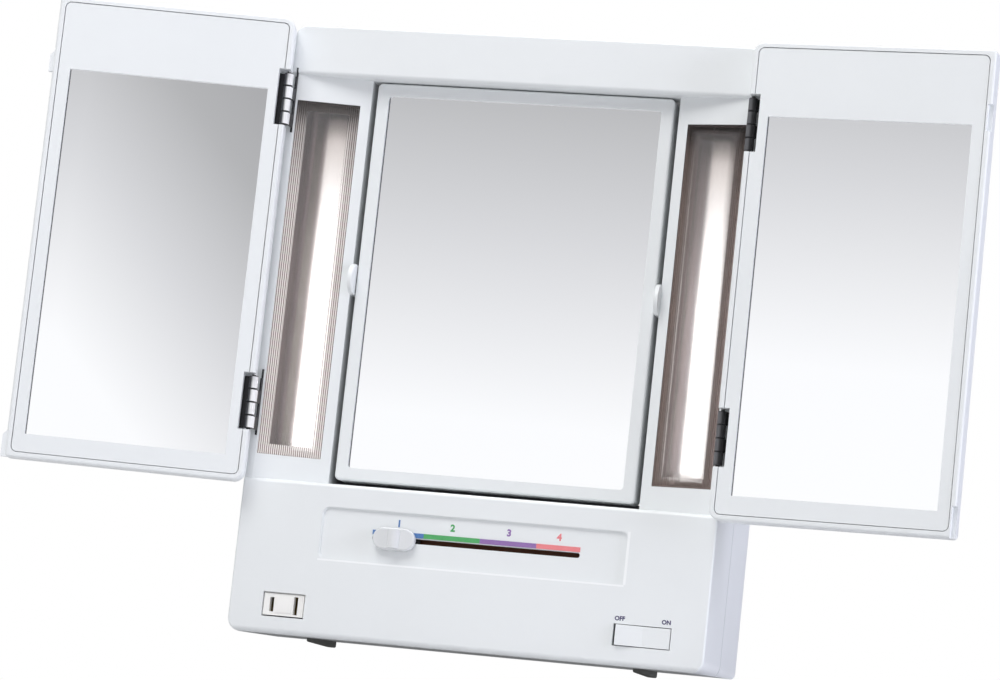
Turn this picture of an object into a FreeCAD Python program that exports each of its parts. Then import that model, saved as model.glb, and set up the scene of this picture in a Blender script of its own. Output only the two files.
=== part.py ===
# Lighted tri-fold makeup mirror: a standing body with two light columns, a turning
# two-sided centre mirror, two folding wing mirrors and a light-setting slider.
# Millimetres. While modelling, y is counted from the front plane of the body, z from the
# front of its underside and x from its middle; save() moves each piece to the part's frame,
# whose origin is the middle of the footprint on the standing surface.
import FreeCAD
import Part
import math
import os

# Body shell
body_width = 248.0
body_depth = 91.5
body_height = 317.0
wall = 2.5
corner_radius = 7.0
front_edge_radius = 1.0
rear_edge_radius = 3.0
toe_radius = 3.0
heel_radius = 7.0
underside_rise = 3.5
front_depth = 44.4
seam_gap = 0.8
lip_thickness = 1.2
lip_depth = 3.0
fit_gap = 0.15

# Feet: two runners along the depth, thicker towards the rear
foot_height = 0.9
foot_width = 5.4
foot_start = 24.0
foot_length = 40.0
foot_edge = 0.5
foot_side_distance = 38.0
foot_peg_distance = 7.0
foot_peg_radius = 2.0

# Window, ledge, header and light columns
ledge_height = 79.0
header_height = 26.0
column_width = 42.3
rear_ledge_rise = 6.0
ledge_radius = 2.0
land_width = 4.0
land_setback = 1.5
column_setback = 10.0

# Lamp lenses
lens_inner_margin = 5.3
lens_outer_margin = 4.9
lens_bottom_margin = 12.7
lens_top_margin = 13.6
lens_thickness = 1.6
lens_seat = 1.0
rib_pitch = 1.05
rib_depth = 0.55
rib_border = 5.2

# Lamps, holders and reflectors
lamp_outward = 1.3
lamp_setback = 4.0
lamp_radius = 6.4
lamp_cap_radius = 6.5
lamp_cap_length = 3.0
lamp_bottom_margin = 2.3
lamp_top_margin = 1.5
lamp_pin_radius = 1.2
lamp_pin_length = 3.0
lamp_pin_spacing = 5.0
holder_radius = 6.0
upper_holder_radius = 6.6
bracket_rise = 10.0
bracket_thickness = 2.0
reflector_gap = 2.6
reflector_thickness = 0.8
reflector_flange = 9.0

# Filter drums and their drive
drum_front = 10.6
drum_inner_gap = 1.6
drum_outer_gap = 3.4
drum_quarters = 4
drum_ring_width = 1.8
drum_disc_drop = 6.0
drum_disc_thickness = 2.0
drum_top_drop = 0.5
drum_bar_width = 2.6
drum_hub_radius = 8.5
running_gap = 0.08
hub_gap = 0.5
film_thickness = 0.4
film_gap = 0.3
belt_wall_gap = 1.12
belt_thickness = 1.2
belt_height = 5.0
belt_gap = 0.2

# Chassis tray, ballast and rib seats
tray_height = 40.0
tray_thickness = 2.5
tray_margin = 0.5
rib_width = 3.0
rib_height = 4.0
ballast_length = 100.0
ballast_width = 28.0
ballast_height = 30.0
ballast_rear_distance = 24.0
coil_overhang = 3.0
coil_length = 32.0
coil_height = 24.0

# Control panel, slider and setting bands
panel_width = 158.6
panel_bottom = 41.0
panel_height = 25.6
panel_recess = 1.5
panel_corner = 3.5
panel_step = 0.6
panel_step_depth = 0.5
panel_backing = 1.5
slot_centre_x = 1.5
slot_end_margin = 1.2
slot_height = 2.6
slot_rise = 12.3
setting_count = 4
knob_length = 22.0
knob_height = 11.4
knob_thickness = 3.6
knob_edge = 1.0
knob_ridge_radius = 3.6
knob_ridge_height = 2.2
stem_length = 8.0
slide_gap = 0.2
clear_gap = 0.3
carriage_length = 24.0
carriage_height = 15.0
carriage_thickness = 2.0
clip_length = 10.0
band_pitch = 29.4
band_height = 2.4
band_thickness = 0.3
band_rise = 0.4

# Outlet and switch
outlet_side_distance = 28.8
outlet_z = 15.1
outlet_width = 22.5
outlet_height = 12.5
outlet_depth = 20.0
outlet_gap = 0.7
outlet_recess = 0.8
outlet_boss_width = 8.4
outlet_boss_height = 7.6
outlet_boss_rise = 0.4
blade_spacing = 12.7
blade_slot_width = 2.2
blade_slot_short = 7.3
blade_slot_long = 9.2
contact_pocket_width = 4.0
contact_pocket_height = 10.0
contact_leaf = 0.8
contact_front = 4.0
contact_length = 12.0
switch_side_distance = 32.45
switch_z = 15.6
switch_width = 29.5
switch_height = 11.0
switch_gap = 0.4
switch_case_wall = 2.0
switch_case_depth = 14.0
rocker_tilt = 4.0
rocker_depth = 7.0
rocker_pivot_y = 7.0
rocker_pin_radius = 1.5
rocker_pin_length = 1.2
rocker_foot = 9.6

# Cord inlet and rear vents
inlet_side_distance = 54.0
inlet_z = 18.0
inlet_hole_radius = 5.0
inlet_bore_radius = 3.5
inlet_flange_radius = 7.0
inlet_flange = 1.5
vent_count = 8
vent_width = 22.0
vent_height = 3.0
vent_pitch = 7.0
vent_drop = 42.0

# Housing screws
screw_side_distance = 9.5
screw_end_distance = 11.5
screw_radius = 1.5
screw_head_radius = 2.8
screw_head_height = 2.0
screw_drive = 0.8
screw_bite = 12.0
boss_radius = 4.2
boss_setback = 8.6
boss_floor = 3.0

# Turning centre mirror
frame_side_gap = 2.8
frame_end_gap = 0.6
frame_thickness = 14.0
frame_front = 10.0
frame_corner = 2.5
frame_opening_corner = 1.8
frame_edge = 1.2
pivot_rise = 1.3
frame_side_border = 6.5
frame_end_border = 6.5
glass_overlap = 2.0
glass_gap = 0.3
frame_lip = 1.5
plain_thickness = 3.0
magnifier_thickness = 5.5
magnifier_curve_radius = 2000.0
pivot_pin_radius = 2.0
pivot_pin_inset = 3.6
pivot_pin_reach = 5.0
pivot_gap = 0.06
ear_height = 16.0
ear_front = 2.5
ear_back = 24.5
ear_gap = 0.4
ear_edge = 0.85
ear_spigot_radius = 4.0

# Folding wings, counted from the hinge pin along the wing
pin_inset = 1.5
wing_thickness = 12.0
wing_clearance = 0.6
wing_hinge_edge = 1.0
wing_centre_gap = 0.4
wing_ledge_drop = 3.6
wing_rise = 0.4
wing_rim = 2.8
wing_corner = 6.0
wing_free_corner = 2.0
wing_edge = 1.2
wing_back = 2.0
bezel_gap = 0.4
bezel_recess = 0.3
bezel_thickness = 2.6
bezel_lip = 1.2
bezel_seat = 2.0
wing_glass_inner = 9.6
wing_outer_border = 9.2
wing_bottom_border = 12.6
wing_top_border = 38.1
wing_glass_overlap = 2.0
wing_glass_thickness = 1.8
catch_reach = 2.0
catch_thickness = 3.2
catch_gap = 0.5
catch_slope = 4.0
lower_catch_length = 15.1
upper_catch_length = 12.5
upper_catch_drop = 27.9
left_open_angle = 12.3
right_open_angle = 3.8

# Wing hinges
lower_hinge_rise = 37.6
upper_hinge_drop = 15.3
knuckle_count = 4
knuckle_height = 6.5
knuckle_gap = 0.3
barrel_radius = 2.3
hinge_pin_radius = 1.0
hinge_pin_overrun = 1.0
pin_press_gap = 0.02
leaf_thickness = 0.8
leaf_gap = 0.1
fixed_leaf_bury = 8.0
flange_height = 34.2
flange_rise = 1.3
flange_width = 0.9
moving_leaf_length = 11.0
notch_edge = 4.9
leaf_block_wall = 2.0

half_width = body_width / 2
window_half = half_width - column_width
window_top = body_height - header_height
rear_ledge = ledge_height + rear_ledge_rise
land_x = half_width - land_width
inner_side = half_width - wall
slope = (column_setback - land_setback) / (land_x - window_half)
lens_inner = window_half + lens_inner_margin
lens_outer = half_width - lens_outer_margin
lens_bottom = ledge_height + lens_bottom_margin
lens_top = window_top - lens_top_margin
drum_radius = (column_width - 2 * wall - drum_inner_gap - drum_outer_gap) / 2
drum_x = window_half + wall + drum_inner_gap + drum_radius
drum_y = drum_front + drum_radius
lamp_y = drum_y + lamp_setback
holder_head_radius = drum_radius - drum_ring_width - 2 * clear_gap
lamp_bottom = lens_bottom + lamp_bottom_margin
lamp_top = lens_top - lamp_top_margin
bracket_height = lamp_top + bracket_rise
reflector_y = drum_y + drum_radius + reflector_gap
rear_start = front_depth + seam_gap
drum_disc_bottom = lamp_bottom - drum_disc_drop
drum_top = lamp_top - drum_top_drop
belt_pitch_radius = inner_side - drum_x - belt_thickness / 2 - belt_wall_gap
quarter_turn = 360 / drum_quarters
setting_pitch = belt_pitch_radius * math.radians(quarter_turn)
slot_length = setting_pitch * (setting_count - 1) + knob_length + 2 * slot_end_margin
slot_z = panel_bottom + slot_rise
panel_top = panel_bottom + panel_height
outlet_x = outlet_side_distance - half_width
switch_x = half_width - switch_side_distance
inlet_x = half_width - inlet_side_distance
ballast_y = body_depth - ballast_rear_distance
screw_x = half_width - screw_side_distance
boss_face_y = rear_start + boss_setback
pivot_z = (ledge_height + window_top) / 2 + pivot_rise
frame_width = 2 * (window_half - frame_side_gap)
frame_height = 2 * (window_top - pivot_z - frame_end_gap)
glass_width = frame_width - 2 * frame_side_border
glass_height = frame_height - 2 * frame_end_border
pin_x = half_width - pin_inset
wing_bottom = ledge_height - wing_ledge_drop
wing_top = body_height + wing_rise
wing_free_edge = pin_x - wing_centre_gap
wing_glass_outer = wing_free_edge - wing_outer_border
wing_glass_bottom = wing_bottom + wing_bottom_border
wing_glass_top = wing_top - wing_top_border
upper_catch_top = wing_top - upper_catch_drop
catch_spans = ((wing_bottom, wing_bottom + lower_catch_length),
               (upper_catch_top - upper_catch_length, upper_catch_top))
hinge_heights = (ledge_height + lower_hinge_rise, window_top - upper_hinge_drop)

# Cutting tools run past the faces they cut by these lengths
through = 5.0
overcut = 1.0


def column_face(x):
    """Depth of the sloping column front at a distance x from the middle."""
    return land_setback + slope * (land_x - x)


def box(x0, x1, y0, y1, z0, z1):
    return Part.makeBox(x1 - x0, y1 - y0, z1 - z0, FreeCAD.Vector(x0, y0, z0))


def cylinder(start, direction, radius, length):
    return Part.makeCylinder(radius, length, FreeCAD.Vector(*start), FreeCAD.Vector(*direction))


def tube(start, direction, outer, inner, length):
    return cylinder(start, direction, outer, length).cut(cylinder(start, direction, inner, length))


def prism(points, z0, z1):
    """Upright prism over a closed outline of x, y points."""
    corners = [FreeCAD.Vector(x, y, z0) for x, y in points]
    face = Part.Face(Part.makePolygon(corners + corners[:1]))
    return face.extrude(FreeCAD.Vector(0, 0, z1 - z0))


def rounded_plate(x0, x1, z0, z1, y0, y1, radius):
    """Plate in the x, z plane from y0 to y1, with rounded corners."""
    plate = box(x0, x1, y0, y1, z0, z1)
    upright = [e for e in plate.Edges if abs(e.BoundBox.YLength - (y1 - y0)) < 1e-6]
    return plate.makeFillet(radius, upright)


def round_rim(shape, y, radius):
    """Round every edge that lies in the plane at depth y."""
    edges = [e for e in shape.Edges if e.BoundBox.YLength < 1e-6 and abs(e.BoundBox.YMin - y) < 1e-6]
    return shape.makeFillet(radius, edges)


def obround(x0, x1, z_mid, height, y0, y1):
    """Plate with half-round ends along x."""
    radius = height / 2
    middle = box(x0 + radius, x1 - radius, y0, y1, z_mid - radius, z_mid + radius)
    ends = [cylinder((x, y0, z_mid), (0, 1, 0), radius, y1 - y0) for x in (x0 + radius, x1 - radius)]
    return middle.fuse(ends).removeSplitter()


def mirrored(shape):
    return shape.mirror(FreeCAD.Vector(0, 0, 0), FreeCAD.Vector(1, 0, 0))


def both_sides(shape):
    return [shape, mirrored(shape)]


def save(name, shape):
    """Move a piece to the part's frame and write it."""
    pieces = shape if isinstance(shape, list) else [shape]
    group = pieces[0] if len(pieces) == 1 else Part.makeCompound(pieces)
    placed = group.copy()
    placed.translate(FreeCAD.Vector(0, -body_depth / 2, foot_height))
    placed.exportStep(os.path.join("parts", name + ".step"))


def shell_plate(inset, y0, y1):
    """Outline of the body from the front, drawn in by an inset."""
    return rounded_plate(-half_width + inset, half_width - inset, inset, body_height - inset,
                         y0, y1, corner_radius - inset)


def underside(y):
    """Height of the body's underside at a depth."""
    return underside_rise * y / body_depth


def side_form(inset):
    """Outline of the body from the side, with its toe, rising underside and heel, drawn in by an inset."""
    y0, y1 = inset, body_depth - inset
    top = body_height + through
    outline = [(y0, underside(y0) + inset), (y1, underside(y1) + inset), (y1, top), (y0, top)]
    corners = [FreeCAD.Vector(-body_width, y, z) for y, z in outline]
    form = Part.Face(Part.makePolygon(corners + corners[:1])).extrude(FreeCAD.Vector(2 * body_width, 0, 0))
    for y, radius in ((y0, toe_radius), (y1, heel_radius)):
        if radius > inset:
            form = form.makeFillet(radius - inset, [lower_edge(form, y)])
    return form


def lower_edge(form, y):
    """The long lower edge of a side form at a depth."""
    for edge in form.Edges:
        bounds = edge.BoundBox
        if abs(bounds.YMin - y) < 1e-6 and abs(bounds.YMax - y) < 1e-6 and bounds.ZMax < body_height:
            return edge
    raise ValueError("no lower edge at this depth")


def shell_outline(inset, y0, y1):
    """Whole form of the body, drawn in by an inset."""
    return shell_plate(inset, y0, y1).common(side_form(inset))


def front_form(inset):
    """Front half as a solid: base, two sloping columns and header, drawn in by an inset."""
    reach = body_width
    back = front_depth if inset == 0 else front_depth + through
    outline = shell_plate(inset, inset, back)
    base = box(-reach, reach, inset, back, -reach, ledge_height - inset)
    header = box(-reach, reach, inset, back, window_top + inset, body_height + reach)
    if inset == 0:
        outline = round_rim(outline, inset, front_edge_radius)
        base = base.makeFillet(ledge_radius, [front_edge(base, ledge_height)])
        header = header.makeFillet(ledge_radius, [front_edge(header, window_top)])
    inner = window_half + inset
    column = prism([(inner, column_face(inner) + inset), (land_x, land_setback + inset),
                    (reach, land_setback + inset), (reach, back), (inner, back)],
                   ledge_height - ledge_radius - inset, window_top + ledge_radius + inset)
    return outline.common(side_form(inset)).common(base.fuse([header] + both_sides(column)))


def front_edge(block, height):
    """The long front edge of a block at a height."""
    for edge in block.Edges:
        bounds = edge.BoundBox
        if bounds.YMax < 1e-6 and abs(bounds.ZMin - height) < 1e-6 and abs(bounds.ZMax - height) < 1e-6:
            return edge
    raise ValueError("no front edge at this height")


def screw_places():
    return [(side * screw_x, z) for side in (-1, 1)
            for z in (screw_end_distance, body_height - screw_end_distance)]


def foot_places():
    """Pegs of the two runners, one in each half of the housing."""
    return [(side * (half_width - foot_side_distance), y) for side in (-1, 1)
            for y in (foot_start + foot_peg_distance, foot_start + foot_length - foot_peg_distance)]


def lens_opening(inset, depth_start, depth_end):
    """Prism across one column that follows its slope, between two depths below the face."""
    low, high = lens_inner + inset, lens_outer - inset
    outline = [(low, column_face(low) + depth_start), (high, column_face(high) + depth_start),
               (high, column_face(high) + depth_end), (low, column_face(low) + depth_end)]
    return prism(outline, lens_bottom + inset, lens_top - inset)


def leaf_slot(z):
    """Slot in the column land for the buried part of a fixed hinge leaf."""
    half = hinge_half_height() + leaf_gap
    return box(web_x0() - leaf_gap, web_x1() + leaf_gap, land_setback - through,
               land_setback + fixed_leaf_bury + leaf_gap, z - half, z + half)


def flange_notch(z):
    """Notch for the flange of a fixed leaf, where it reaches past the column."""
    half = flange_height / 2 + leaf_gap
    return box(web_x1() - flange_width - leaf_gap, web_x1() + leaf_gap, -through, land_setback,
               z + flange_rise - half, z + flange_rise + half)


def hinge_half_height():
    return (knuckle_count * knuckle_height + (knuckle_count - 1) * knuckle_gap) / 2


def web_x0():
    return pin_x - barrel_radius


def web_x1():
    return web_x0() + leaf_thickness


def tray_seat_ribs():
    """Ribs on the side walls that carry the chassis tray."""
    return both_sides(box(inner_side - rib_width, inner_side + fit_gap, wall + through,
                          front_depth - lip_depth - overcut, tray_height - rib_height, tray_height))


def bracket_seat_ribs():
    """Ribs on the column walls that carry the upper lamp brackets."""
    y0, y1 = column_setback + wall, front_depth - lip_depth - overcut
    z0, z1 = bracket_height - rib_height, bracket_height
    inner_wall = window_half + wall
    ribs = both_sides(box(inner_wall - fit_gap, inner_wall + rib_width, y0, y1, z0, z1))
    return ribs + both_sides(box(inner_side - rib_width, inner_side + fit_gap, y0, y1, z0, z1))


def front_housing():
    shell = front_form(0).cut(front_form(wall))
    backing = box(-panel_width / 2 - wall, panel_width / 2 + wall, wall - fit_gap, wall + panel_backing,
                  panel_bottom - wall, panel_top + wall)
    posts = [cylinder((x, wall - fit_gap, z), (0, 1, 0), boss_radius, boss_face_y - wall + fit_gap)
             for x, z in screw_places()]
    shell = shell.fuse([backing] + posts + tray_seat_ribs() + bracket_seat_ribs())
    recess = rounded_plate(-panel_width / 2, panel_width / 2, panel_bottom, panel_top,
                           -through, panel_recess, panel_corner)
    step = rounded_plate(-panel_width / 2 - panel_step, panel_width / 2 + panel_step,
                         panel_bottom - panel_step, panel_top + panel_step,
                         -through, panel_step_depth, panel_corner + panel_step)
    slot = obround(slot_centre_x - slot_length / 2, slot_centre_x + slot_length / 2, slot_z, slot_height,
                   -through, wall + panel_backing + through)
    outlet = box(outlet_x - outlet_width / 2, outlet_x + outlet_width / 2, -through, wall + through,
                 outlet_z - outlet_height / 2, outlet_z + outlet_height / 2)
    switch = box(switch_x - switch_width / 2, switch_x + switch_width / 2, -through, wall + through,
                 switch_z - switch_height / 2, switch_z + switch_height / 2)
    cuts = [recess, step, slot, outlet, switch]
    cuts += both_sides(lens_opening(0, -through, lens_thickness))
    cuts += both_sides(lens_opening(lens_seat, -through, wall + through))
    for z in hinge_heights:
        cuts += both_sides(leaf_slot(z))
        cuts += both_sides(flange_notch(z))
    cuts += both_sides(cylinder((window_half - through, pivot_y(), pivot_z), (1, 0, 0),
                                ear_spigot_radius + leaf_gap, wall + 2 * through))
    cuts += [cylinder((x, boss_face_y - screw_bite - overcut, z), (0, 1, 0), screw_radius + leaf_gap,
                      screw_bite + through) for x, z in screw_places()]
    cuts += [cylinder((x, y, -through), (0, 0, 1), foot_peg_radius + leaf_gap, wall + 2 * through)
             for x, y in foot_places() if y < front_depth]
    return shell.cut(cuts)


def pivot_y():
    return frame_front + frame_thickness / 2


def rear_housing():
    outer = round_rim(shell_plate(0, rear_start, body_depth), body_depth, rear_edge_radius)
    outer = outer.common(side_form(0))
    cavity = shell_outline(wall, rear_start - through, body_depth - wall)
    tunnel = box(-window_half - wall, window_half + wall, rear_start - 2 * through, body_depth,
                 rear_ledge - wall, window_top + wall)
    window = box(-window_half, window_half, 0, body_depth + through, rear_ledge, window_top)
    shell = outer.cut(cavity.cut(tunnel)).cut(window)
    lip_inset = wall + fit_gap
    lip = shell_outline(lip_inset, front_depth - lip_depth, rear_start + lip_depth)
    lip = lip.cut(shell_outline(lip_inset + lip_thickness, front_depth - 2 * lip_depth,
                                rear_start + 2 * lip_depth))
    lip_foot = shell_outline(wall - fit_gap, rear_start, rear_start + lip_depth)
    lip_foot = lip_foot.cut(shell_outline(lip_inset + lip_thickness / 2, rear_start - overcut,
                                          rear_start + 2 * lip_depth))
    posts = [cylinder((x, boss_face_y, z), (0, 1, 0), boss_radius, body_depth - boss_face_y - wall / 2)
             for x, z in screw_places()]
    shell = shell.fuse([lip, lip_foot] + posts)
    cuts = []
    for x, z in screw_places():
        cuts.append(cylinder((x, boss_face_y + boss_floor, z), (0, 1, 0), screw_head_radius + clear_gap,
                             body_depth))
        cuts.append(cylinder((x, boss_face_y - overcut, z), (0, 1, 0), screw_radius + leaf_gap, body_depth))
    cuts.append(cylinder((inlet_x, body_depth - 2 * wall, inlet_z), (0, 1, 0), inlet_hole_radius + leaf_gap,
                         4 * wall))
    for row in range(vent_count):
        z = window_top - vent_drop - row * vent_pitch
        cuts += both_sides(obround(drum_x - vent_width / 2, drum_x + vent_width / 2, z, vent_height,
                                   body_depth - 2 * wall, body_depth + through))
    cuts += [cylinder((x, y, -through), (0, 0, 1), foot_peg_radius + leaf_gap, wall + 2 * through)
             for x, y in foot_places() if y > rear_start]
    return shell.cut(cuts)


def rubber_feet():
    """Two runners with round ends and chamfered soles, cut to the rising underside, and their pegs."""
    feet = []
    radius = foot_width / 2
    y0, y1 = foot_start + radius, foot_start + foot_length - radius
    for side in (-1, 1):
        x = side * (half_width - foot_side_distance)
        height = foot_height + underside_rise
        runner = box(x - radius, x + radius, y0, y1, -foot_height, underside_rise)
        ends = [cylinder((x, y, -foot_height), (0, 0, 1), radius, height) for y in (y0, y1)]
        runner = runner.fuse(ends).removeSplitter()
        sole = [edge for edge in runner.Edges if edge.BoundBox.ZMax < foot_edge - foot_height]
        runner = runner.makeChamfer(foot_edge, sole)
        pegs = [cylinder((x, y, 0), (0, 0, 1), foot_peg_radius, underside(y) + wall)
                for peg_x, y in foot_places() if peg_x == x]
        feet.append(runner.cut(side_form(0)).fuse(pegs))
    return feet


def housing_screws():
    screws = []
    for x, z in screw_places():
        seat = boss_face_y + boss_floor
        shank = cylinder((x, boss_face_y - screw_bite, z), (0, 1, 0), screw_radius, screw_bite + boss_floor)
        head = cylinder((x, seat, z), (0, 1, 0), screw_head_radius, screw_head_height)
        middle = seat + screw_head_height / 2
        half = screw_drive / 2
        slots = [box(x - screw_head_radius, x + screw_head_radius, middle, seat + screw_head_height,
                     z - half, z + half),
                 box(x - half, x + half, middle, seat + screw_head_height,
                     z - screw_head_radius, z + screw_head_radius)]
        screws.append(shank.fuse(head).cut(slots))
    return screws


def cord_grommet():
    inside = body_depth - wall - inlet_flange
    length = wall + 2 * inlet_flange
    body = cylinder((inlet_x, inside, inlet_z), (0, 1, 0), inlet_hole_radius, length)
    flanges = [cylinder((inlet_x, y, inlet_z), (0, 1, 0), inlet_flange_radius, inlet_flange)
               for y in (inside, body_depth)]
    bore = cylinder((inlet_x, inside - overcut, inlet_z), (0, 1, 0), inlet_bore_radius,
                    length + 2 * overcut)
    return body.fuse(flanges).cut(bore)


def chassis_tray():
    half = inner_side - fit_gap - lip_thickness - tray_margin
    return box(-half, half, wall + through, body_depth - wall - tray_margin,
               tray_height, tray_height + tray_thickness)


def lamp_ballast():
    y0, y1 = ballast_y - ballast_width / 2, ballast_y + ballast_width / 2
    floor = wall + underside_rise
    core = box(-ballast_length / 2, ballast_length / 2, y0, y1, floor, floor + ballast_height)
    coil = box(-coil_length / 2, coil_length / 2, y0 - coil_overhang, y1 + coil_overhang,
               floor, floor + coil_height)
    return core.fuse(coil)


def lens():
    """Right-hand lens with upright ribs on its inner face, in a border round a smooth middle."""
    gap = fit_gap
    low, high = lens_inner + gap, lens_outer - gap
    rib_low, rib_high = lens_inner + lens_seat + 2 * gap, lens_outer - lens_seat - 2 * gap
    pane = prism([(low, column_face(low)), (high, column_face(high)),
                  (high, column_face(high) + lens_thickness), (low, column_face(low) + lens_thickness)],
                 lens_bottom + gap, lens_top - gap)
    count = int((rib_high - rib_low) / rib_pitch)
    end = rib_high - count * rib_pitch
    outline = [(x, column_face(x) + lens_thickness / 2) for x in (end, rib_high)]
    for rib in range(count):
        start = rib_high - rib * rib_pitch
        outline.append((start, column_face(start) + lens_thickness))
        crest = start - rib_pitch / 2
        outline.append((crest, column_face(crest) + lens_thickness + rib_depth))
    outline.append((end, column_face(end) + lens_thickness))
    margin = lens_seat + 2 * gap
    ribs = prism(outline, lens_bottom + margin, lens_top - margin)
    ribs = ribs.cut(lens_opening(rib_border, lens_thickness, lens_thickness + through))
    return pane.fuse(ribs).removeSplitter()


def reflector():
    """Right-hand reflector: a flat back with two flanges along the chamber walls."""
    x0 = window_half + wall + clear_gap
    x1 = inner_side - fit_gap - lip_thickness - clear_gap
    z0, z1 = drum_disc_bottom, drum_top
    back = box(x0, x1, reflector_y, reflector_y + reflector_thickness, z0, z1)
    flanges = [box(x, x + reflector_thickness, reflector_y - reflector_flange,
                   reflector_y + reflector_thickness, z0, z1) for x in (x0, x1 - reflector_thickness)]
    return back.fuse(flanges).removeSplitter()


def lamp_x(side):
    """Middle of a lamp, a little outwards of its drum's axis."""
    return side * (drum_x + lamp_outward)


def lamp(side):
    return cylinder((lamp_x(side), lamp_y, lamp_bottom + lamp_cap_length), (0, 0, 1), lamp_radius,
                    lamp_top - lamp_bottom - 2 * lamp_cap_length)


def lamp_pin_places(side):
    return [lamp_x(side) - lamp_pin_spacing / 2, lamp_x(side) + lamp_pin_spacing / 2]


def lamp_caps(side):
    """Metal caps and contact pins of a lamp."""
    caps = []
    for z, pin_z in ((lamp_bottom, lamp_bottom - lamp_pin_length), (lamp_top - lamp_cap_length, lamp_top)):
        cap = cylinder((lamp_x(side), lamp_y, z), (0, 0, 1), lamp_cap_radius, lamp_cap_length)
        pins = [cylinder((x, lamp_y, pin_z), (0, 0, 1), lamp_pin_radius, lamp_pin_length)
                for x in lamp_pin_places(side)]
        caps.append(cap.fuse(pins))
    return caps


def lamp_pin_holes(side, bottom):
    length = lamp_pin_length + 2 * overcut
    return [cylinder((x, lamp_y, bottom), (0, 0, 1), lamp_pin_radius + leaf_gap, length)
            for x in lamp_pin_places(side)]


def lower_holder(side):
    """Post on which a filter drum turns, with a head above the drum's disc that carries the lamp."""
    foot = tray_height + tray_thickness
    head_bottom = drum_disc_bottom + drum_disc_thickness + hub_gap
    post = cylinder((side * drum_x, drum_y, foot), (0, 0, 1), holder_radius, lamp_bottom - foot)
    head = cylinder((side * drum_x, drum_y, head_bottom), (0, 0, 1), holder_head_radius,
                    lamp_bottom - head_bottom)
    holder = post.fuse(head).removeSplitter()
    return holder.cut(lamp_pin_holes(side, lamp_bottom - lamp_pin_length - overcut))


def upper_holder(side):
    """Upper lamp socket and the bracket that rests on the column ribs."""
    x0 = window_half + wall + clear_gap
    x1 = inner_side - clear_gap
    bracket = box(x0, x1, column_setback + wall + overcut, front_depth - lip_depth - 2 * overcut,
                  bracket_height, bracket_height + bracket_thickness)
    bracket = bracket if side > 0 else mirrored(bracket)
    socket = cylinder((lamp_x(side), lamp_y, lamp_top), (0, 0, 1), upper_holder_radius,
                      bracket_height - lamp_top + overcut)
    return bracket.fuse(socket).cut(lamp_pin_holes(side, lamp_top - overcut))


def belt_z():
    return slot_z - belt_height / 2


def belt_inner():
    return belt_pitch_radius - belt_thickness / 2


def drive_belt():
    """Endless belt round the two drum pulleys."""
    loops = []
    for radius in (belt_pitch_radius + belt_thickness / 2, belt_inner()):
        loop = box(-drum_x, drum_x, drum_y - radius, drum_y + radius, belt_z(), belt_z() + belt_height)
        ends = [cylinder((x, drum_y, belt_z()), (0, 0, 1), radius, belt_height) for x in (-drum_x, drum_x)]
        loops.append(loop.fuse(ends).removeSplitter())
    return loops[0].cut(loops[1])


def filter_drum():
    """Right-hand drum: pulley, hub, lower disc, four bars and upper ring."""
    centre = (drum_x, drum_y)
    hub_bottom = tray_height + tray_thickness + hub_gap
    hub = cylinder(centre + (hub_bottom,), (0, 0, 1), drum_hub_radius,
                   drum_disc_bottom - hub_bottom + overcut)
    pulley = cylinder(centre + (belt_z(),), (0, 0, 1), belt_inner() - belt_gap, belt_height)
    disc = cylinder(centre + (drum_disc_bottom,), (0, 0, 1), drum_radius, drum_disc_thickness)
    ring = tube(centre + (drum_top - drum_disc_thickness,), (0, 0, 1), drum_radius,
                drum_radius - drum_ring_width, drum_disc_thickness)
    drum = hub.fuse([pulley, disc, ring])
    cage = tube(centre + (drum_disc_bottom,), (0, 0, 1), drum_radius, drum_radius - drum_ring_width,
                drum_top - drum_disc_bottom)
    half = drum_bar_width / 2
    for quarter in range(drum_quarters):
        bar = box(drum_x, drum_x + 2 * drum_radius, drum_y - half, drum_y + half,
                  drum_disc_bottom, drum_top)
        bar.rotate(FreeCAD.Vector(*centre, 0), FreeCAD.Vector(0, 0, 1), quarter_turn * (quarter + 0.5))
        drum = drum.fuse(bar.common(cage))
    bore = cylinder(centre + (0,), (0, 0, 1), holder_radius + running_gap,
                    drum_disc_bottom + drum_disc_thickness + overcut)
    return drum.cut(bore).removeSplitter()


def filter_film(quarter):
    """Tinted film in one quarter of the right-hand drum; quarter 0 faces the lens and stays open."""
    radius = drum_radius - drum_ring_width / 2 + film_thickness / 2
    margin = math.degrees((drum_bar_width / 2 + film_gap) / radius)
    z0 = drum_disc_bottom + drum_disc_thickness
    height = drum_top - drum_disc_thickness - z0
    place = FreeCAD.Vector(drum_x, drum_y, z0)
    up = FreeCAD.Vector(0, 0, 1)
    sweep = quarter_turn - 2 * margin
    film = Part.makeCylinder(radius, height, place, up, sweep)
    film = film.cut(Part.makeCylinder(radius - film_thickness, height, place, up, 360))
    film.rotate(place, up, margin - quarter_turn * (quarter + 1.5))
    return film


def moved_x(shape, distance):
    copy = shape.copy()
    copy.translate(FreeCAD.Vector(distance, 0, 0))
    return copy


def first_setting_x():
    return slot_centre_x - setting_pitch * (setting_count - 1) / 2


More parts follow.
